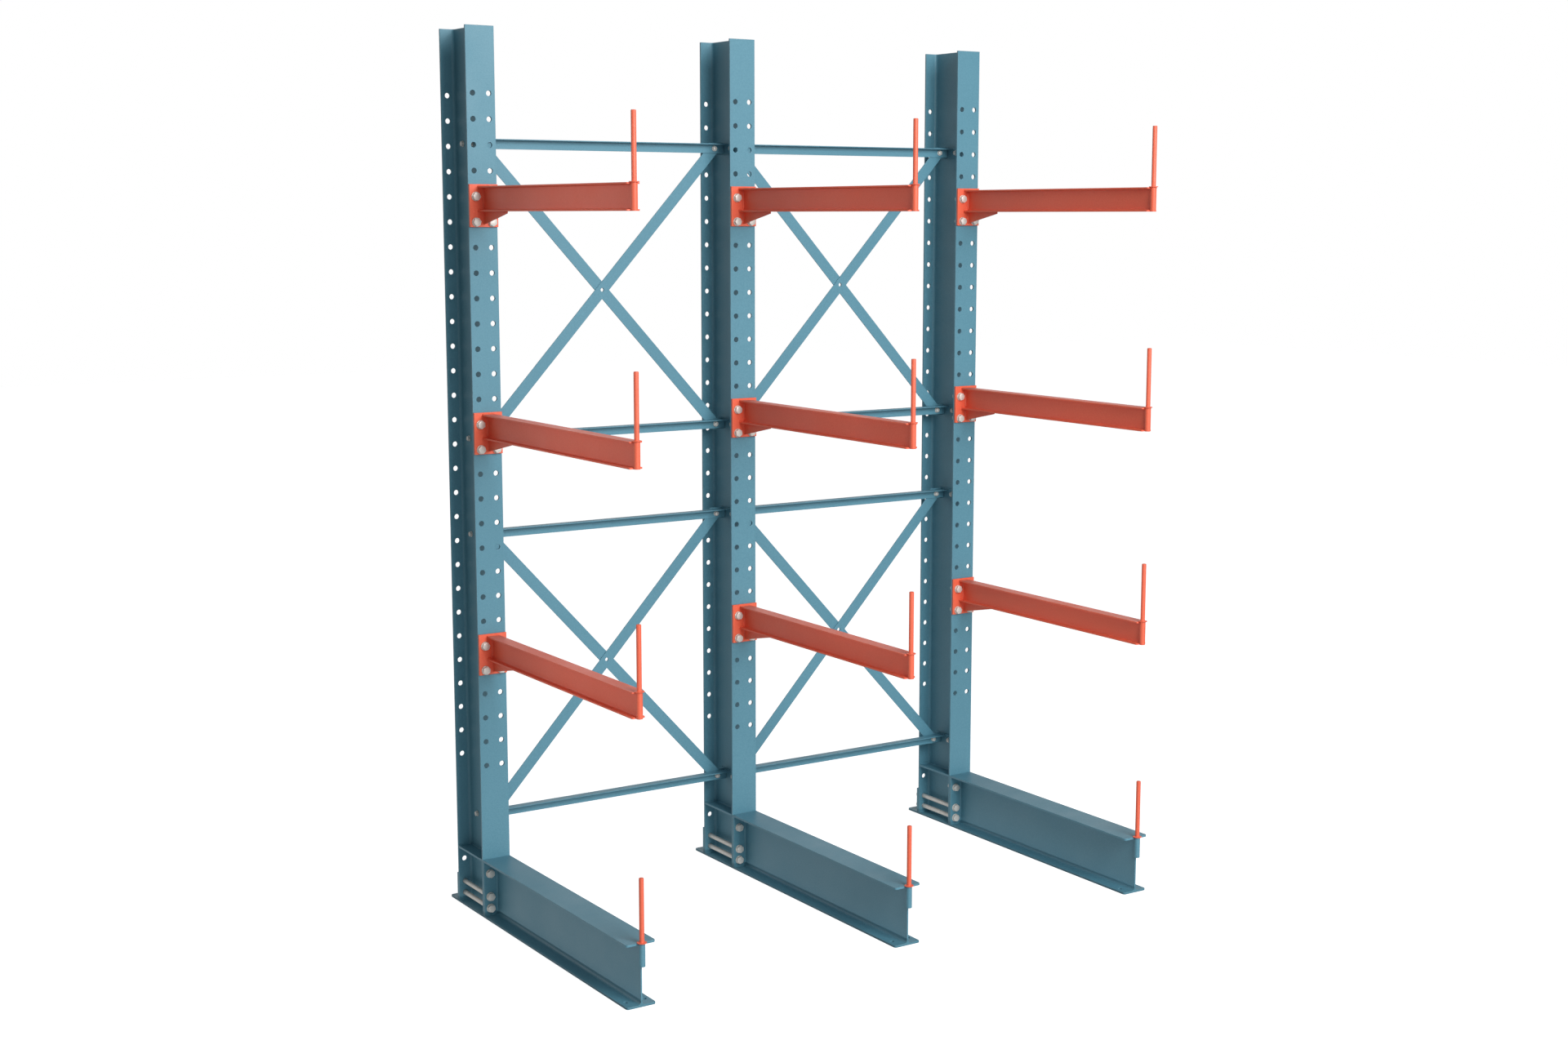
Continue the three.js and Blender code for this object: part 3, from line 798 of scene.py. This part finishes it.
class Nodes:
    """Small helper for building a node tree."""

    def __init__(self, tree):
        self.tree = tree

    def add(self, kind, inputs=None, **settings):
        node = self.tree.nodes.new(kind)
        for key, value in settings.items():
            setattr(node, key, value)
        for key, value in (inputs or {}).items():
            self.put(node.inputs[key], value)
        return node

    def put(self, target, value):
        if isinstance(value, bpy.types.NodeSocket):
            self.tree.links.new(value, target)
        else:
            target.default_value = value

    def noise(self, place, scale, detail=2.0, roughness=0.5):
        values = {"Vector": place, "Scale": scale, "Detail": detail, "Roughness": roughness}
        return self.add("ShaderNodeTexNoise", values).outputs["Fac"]

    def remap(self, value, low, high, to_low, to_high):
        values = {"Value": value, "From Min": low, "From Max": high, "To Min": to_low, "To Max": to_high}
        return self.add("ShaderNodeMapRange", values).outputs["Result"]

    def mix(self, factor, first, second):
        node = self.add("ShaderNodeMix", data_type="RGBA")
        colour_sockets = [socket for socket in node.inputs if socket.type == "RGBA"]
        self.put(node.inputs["Factor"], factor)
        self.put(colour_sockets[0], first)
        self.put(colour_sockets[1], second)
        return [socket for socket in node.outputs if socket.type == "RGBA"][0]

    def maths(self, operation, *values):
        node = self.add("ShaderNodeMath", operation=operation)
        for socket, value in zip(node.inputs, values):
            self.put(socket, value)
        return node.outputs["Value"]

    def place(self):
        """Object coordinates, moved by a different amount on each piece so that no two look alike."""
        coordinates = self.add("ShaderNodeTexCoord").outputs["Object"]
        random = self.add("ShaderNodeObjectInfo").outputs["Random"]
        offset = self.maths("MULTIPLY", random, SHIFT_RANGE)
        moved = self.add("ShaderNodeVectorMath", {0: coordinates, 1: offset}, operation="ADD")
        return moved.outputs["Vector"]

    def edges(self):
        """1 along the middle of the rounded edges and 0 on the faces."""
        return self.add("ShaderNodeAttribute", attribute_name="edge_wear_and_highlight").outputs["Fac"]

    def bump(self, layers):
        """Stacks (height, strength, distance) layers into one normal."""
        normal = None
        for height, strength, distance in layers:
            node = self.add("ShaderNodeBump", {"Height": height, "Strength": strength, "Distance": distance})
            if normal is not None:
                self.put(node.inputs["Normal"], normal)
            normal = node.outputs["Normal"]
        return normal


def colour(red, green, blue):
    """Linear colour from 0-255 sRGB values."""
    def linear(value):
        value /= 255
        return value / 12.92 if value <= 0.04045 else ((value + 0.055) / 1.055) ** 2.4
    return (linear(red), linear(green), linear(blue), 1.0)


def new_material(name):
    """A material with its node helper and its shader's input sockets."""
    material = bpy.data.materials.new(name)
    material.use_nodes = True
    shader = material.node_tree.nodes["Principled BSDF"]
    return material, Nodes(material.node_tree), shader.inputs


def powder_coat(name, body, deep, worn_and_highlit, roughness):
    """Satin powder coat: slow drift of tone, fine grain, orange peel, and rounded edges lightened partly as
    rubbed wear and partly as a painted highlight.
    """
    material, n, sockets = new_material(name)
    place = n.place()
    drift = n.remap(n.noise(place, PAINT_NOISE["drift"], 3.0), 0.3, 0.7, 0.0, 1.0)
    base = n.mix(n.maths("MULTIPLY", drift, 0.35), body, deep)
    grain = n.noise(place, PAINT_NOISE["grain"], 3.0, 0.7)
    grained = n.mix(n.remap(grain, 0.3, 0.7, 0.0, 0.7), base, deep)
    # The rounded edges are mixed toward the lighter edge colour: partly rubbed paint, partly a painted
    # highlight for the light the edges catch.
    rubbing_and_highlight = n.remap(n.noise(place, PAINT_NOISE["rubbing_and_highlight"], 4.0, 0.65), 0.46, 0.62, 0.15, 1.0)
    rubbed_and_highlit = n.maths("MULTIPLY", n.edges(), rubbing_and_highlight)
    n.put(sockets["Base Color"], n.mix(n.maths("MULTIPLY", rubbed_and_highlit, 0.45), grained, worn_and_highlit))
    smudge = n.noise(place, PAINT_NOISE["smudge"], 4.0, 0.6)
    n.put(sockets["Roughness"], n.remap(smudge, 0.3, 0.7, roughness - 0.05, roughness + 0.07))
    peel = n.noise(place, PAINT_NOISE["peel"], 1.5)
    n.put(sockets["Normal"], n.bump([(peel, 0.22, 0.0006), (grain, 0.12, 0.0008)]))
    return material


def zinc(name, tint, dull):
    """Dull zinc plating: faint crystal patches, fine pitting and darker handling marks."""
    material, n, sockets = new_material(name)
    place = n.place()
    crystals = n.add("ShaderNodeTexVoronoi", {"Vector": place, "Scale": ZINC_NOISE["patches"]}, feature="F1")
    base = n.mix(n.remap(crystals.outputs["Distance"], 0.0, 0.9, 0.0, 0.45), tint, dull)
    marks = n.remap(n.noise(place, ZINC_NOISE["marks"], 5.0, 0.7), 0.48, 0.72, 0.0, 0.5)
    n.put(sockets["Base Color"], n.mix(marks, base, dull))
    sockets["Metallic"].default_value = 0.25
    polish = n.noise(place, ZINC_NOISE["polish"], 3.0)
    n.put(sockets["Roughness"], n.remap(polish, 0.3, 0.7, 0.4, 0.56))
    n.put(sockets["Normal"], n.bump([(n.noise(place, ZINC_NOISE["pitting"], 3.0), 0.2, 0.0003)]))
    return material


def floor_material():
    material, n, sockets = new_material("pale_floor")
    place = n.add("ShaderNodeTexCoord").outputs["Object"]
    light, dark = ((tone, tone, tone, 1) for tone in (FLOOR_TONE, FLOOR_TONE * 0.96))
    n.put(sockets["Base Color"], n.mix(n.noise(place, 0.8, 3.0), light, dark))
    sockets["Roughness"].default_value = 0.9
    sockets["Specular IOR Level"].default_value = 0.1
    sockets["Emission Color"].default_value = WHITE
    sockets["Emission Strength"].default_value = FLOOR_GLOW
    return material


# ---------------------------------------------------------------- the rack
def arm_bolt_z(level):
    return TOP_ROW_Z - (ARM_ROWS[level] - 1) * HOLE_PITCH


def build_rack(blue, orange, bare):
    column, base, arm, pin = column_mesh(), base_mesh(), arm_mesh(), pin_mesh()
    for order, (side, x) in enumerate(COLUMN_X.items()):
        placed(f"column_{side}_steel", column, blue, x, node=f"column_{side}")
        placed(f"base_{side}_steel", base, blue, x, node=f"base_{side}")
        placed(f"base_bolts_{side}", base_bolts_mesh(order), bare, x)
        placed(f"base_rods_{side}", base_rods_mesh(order), bare, x)
        stop_pin(f"base_pin_{side}", pin, orange, x, SECTION["depth"])
        for step, level in enumerate(ARM_ROWS):
            z = arm_bolt_z(level)
            node = f"arm_{level}_{side}"
            placed(f"{node}_steel", arm, orange, x, z, node=node)
            placed(f"arm_bolts_{level}_{side}", arm_bolts_mesh(3 * order + step), bare, x, z)
            stop_pin(f"arm_pin_{level}_{side}", pin, orange, x, z + ARM_TOP)


def stop_pin(node, mesh, paint, x, z):
    placed(f"{node}_steel", mesh, paint, x, z, body=f"{node}_body", node=node)


def build_bracing(blue, bare):
    angle = angle_mesh()
    bars = {"rising": diagonal_mesh(1), "falling": diagonal_mesh(-1)}
    clips = {"right": clip_mesh(1), "left": clip_mesh(-1)}
    for bay, (left, right) in BAYS.items():
        centre = (COLUMN_X[left] + COLUMN_X[right]) / 2
        for order, (level, z) in enumerate(BRACE_Z.items()):
            node = f"brace_angle_{level}_{bay}"
            placed(f"{node}_steel", angle, blue, centre, z, node=node)
            for column, facing in ((left, "right"), (right, "left")):
                node = f"clip_{level}_{column}_{facing}"
                placed(f"{node}_steel", clips[facing], blue, COLUMN_X[column], z, node=node)
            is_panel_top = level in ("top", "lower_mid")
            packed = (not is_panel_top, is_panel_top)
            seed = order + 4 * list(BAYS).index(bay)
            mesh = brace_bolts_mesh(packed, seed)
            placed(f"brace_bolts_{level}_{bay}", mesh, bare, centre, z)
        for panel, (top, bottom) in PANELS.items():
            for direction, bar in bars.items():
                node = f"diagonal_{panel}_{direction}_{bay}"
                placed(f"{node}_steel", bar, blue, centre, (top + bottom) / 2, node=node)
    for order, (side, x) in enumerate(COLUMN_X.items()):
        for step, (level, z) in enumerate(BRACE_Z.items()):
            mesh = web_bolts_mesh(side != "left", side != "right", 4 * order + step)
            placed(f"web_bolts_{level}_{side}", mesh, bare, x, z)


# ---------------------------------------------------------------- studio
CAMERA_PLACE = (-4.8453, -7.3089, 2.9106)
CAMERA_TURN = (81.68, 0.0, -33.05)
CAMERA_LENS = 48.15

# The key is high in front, the bounce is the light that a pale floor sends back up, and the arm fill
# is a narrow beam on the left sides of the arms.
KEY = {"place": (0.2, -7.0, 5.2), "aim": (0.0, 0.3, 2.0), "size": (4.0, 3.5), "watts": 462}
BOUNCE = {"place": (-1.0, -2.0, 0.02), "aim": (-1.0, -2.0, 1.0), "size": (8.0, 8.0), "watts": 65}
ARM_FILL = {
    "place": (-5.2, -0.5, 2.5), "aim": (0.0, -0.35, 2.05), "size": (0.9, 2.7), "watts": 1.3, "spread": 14,
}
SOFT_WALLS = (
    {"azimuth": -3, "strength": 1.4},
    {"azimuth": 60, "strength": 0.06},
    {"azimuth": 140, "strength": 0.85},
    {"azimuth": -150, "strength": 1.1},
)
WALL_RISE = 9  # degrees above level
WALL_FALLOFF = 5.0  # a higher power makes each wall's glow narrower
FLOOR_TONE = 0.5
FLOOR_GLOW = 0.9  # keeps the floor pale under the shadows
FLOOR_SIZE = 60
FLOOR_CLEARANCE = 0.0005
WHITE = (1, 1, 1, 1)


def build_camera():
    data = bpy.data.cameras.new("camera")
    data.lens = CAMERA_LENS
    data.sensor_width = 36
    data.clip_end = 200
    camera = bpy.data.objects.new("camera", data)
    camera.location = CAMERA_PLACE
    camera.rotation_euler = [math.radians(angle) for angle in CAMERA_TURN]
    bpy.context.scene.collection.objects.link(camera)
    bpy.context.scene.camera = camera


def area_light(name, place, aim, size, watts, spread=180):
    data = bpy.data.lights.new(name, "AREA")
    data.shape = "RECTANGLE"
    data.size, data.size_y = size
    data.energy = watts
    data.spread = math.radians(spread)
    light = bpy.data.objects.new(name, data)
    light.location = place
    light.rotation_euler = (Vector(aim) - Vector(place)).to_track_quat("-Z", "Y").to_euler()
    light.visible_camera = False
    bpy.context.scene.collection.objects.link(light)


def soft_walls(n):
    """Broad glowing patches round the studio. Azimuth is from -Y toward -X."""
    direction = n.add("ShaderNodeTexCoord").outputs["Generated"]
    total = None
    for wall in SOFT_WALLS:
        turn, rise = math.radians(wall["azimuth"]), math.radians(WALL_RISE)
        axis = (-math.sin(turn) * math.cos(rise), -math.cos(turn) * math.cos(rise), math.sin(rise))
        facing = n.add("ShaderNodeVectorMath", {0: direction, 1: axis}, operation="DOT_PRODUCT")
        glow = n.maths("MAXIMUM", facing.outputs["Value"], 0.0)
        glow = n.maths("MULTIPLY", n.maths("POWER", glow, WALL_FALLOFF), wall["strength"])
        total = glow if total is None else n.maths("ADD", total, glow)
    return total


def build_world():
    """A white backdrop for the camera, and soft walls of light for everything else."""
    world = bpy.data.worlds.new("studio")
    bpy.context.scene.world = world
    world.use_nodes = True
    n = Nodes(world.node_tree)
    lighting = n.tree.nodes["Background"]
    lighting.inputs["Color"].default_value = WHITE
    n.put(lighting.inputs["Strength"], soft_walls(n))
    backdrop = n.add("ShaderNodeBackground", {"Color": WHITE})
    rays = n.add("ShaderNodeLightPath")
    chosen = n.add("ShaderNodeMixShader", {
        "Fac": rays.outputs["Is Camera Ray"],
        1: lighting.outputs["Background"],
        2: backdrop.outputs["Background"],
    })
    n.put(n.tree.nodes["World Output"].inputs["Surface"], chosen.outputs["Shader"])


def build_floor():
    """A pale floor that catches shadows and doesn't light the rack: the bounce light does that."""
    mesh = bpy.data.meshes.new("floor")
    half = FLOOR_SIZE / 2
    square = [(-half, -half, 0), (half, -half, 0), (half, half, 0), (-half, half, 0)]
    mesh.from_pydata(square, [], [(0, 1, 2, 3)])
    mesh.materials.append(floor_material())
    floor = bpy.data.objects.new("floor", mesh)
    floor.location = (0, 0, -FLOOR_CLEARANCE)
    floor.visible_diffuse = False
    floor.visible_glossy = False
    bpy.context.scene.collection.objects.link(floor)


def build_studio():
    build_world()
    area_light("key", **KEY)
    area_light("bounce", **BOUNCE)
    area_light("arm_fill", **ARM_FILL)
    build_floor()
    bpy.context.scene.view_settings.view_transform = "Standard"


def corners(box):
    return [[float(value) for value in corner] for corner in box]


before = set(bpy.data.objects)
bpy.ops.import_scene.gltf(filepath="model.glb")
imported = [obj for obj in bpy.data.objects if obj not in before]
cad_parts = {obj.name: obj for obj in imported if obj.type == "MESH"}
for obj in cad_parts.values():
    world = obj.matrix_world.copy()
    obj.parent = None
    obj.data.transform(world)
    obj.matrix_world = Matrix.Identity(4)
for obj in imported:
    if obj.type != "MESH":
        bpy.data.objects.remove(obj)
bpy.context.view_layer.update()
# Each paint's lighter edge colour is what its rounded edges take: partly rubbed paint and partly a painted
# edge highlight.
blue_paint = powder_coat(
    "blue_powder_coat", body=colour(100, 154, 173), deep=colour(82, 137, 157),
    worn_and_highlit=colour(150, 182, 194), roughness=0.46,
)
orange_paint = powder_coat(
    "orange_powder_coat", body=colour(250, 118, 88), deep=colour(238, 100, 70),
    worn_and_highlit=colour(252, 166, 140), roughness=0.44,
)
zinc_plate = zinc("zinc_plate", tint=colour(240, 237, 230), dull=colour(206, 203, 197))
build_rack(blue_paint, orange_paint, zinc_plate)
build_bracing(blue_paint, zinc_plate)
build_camera()
build_studio()
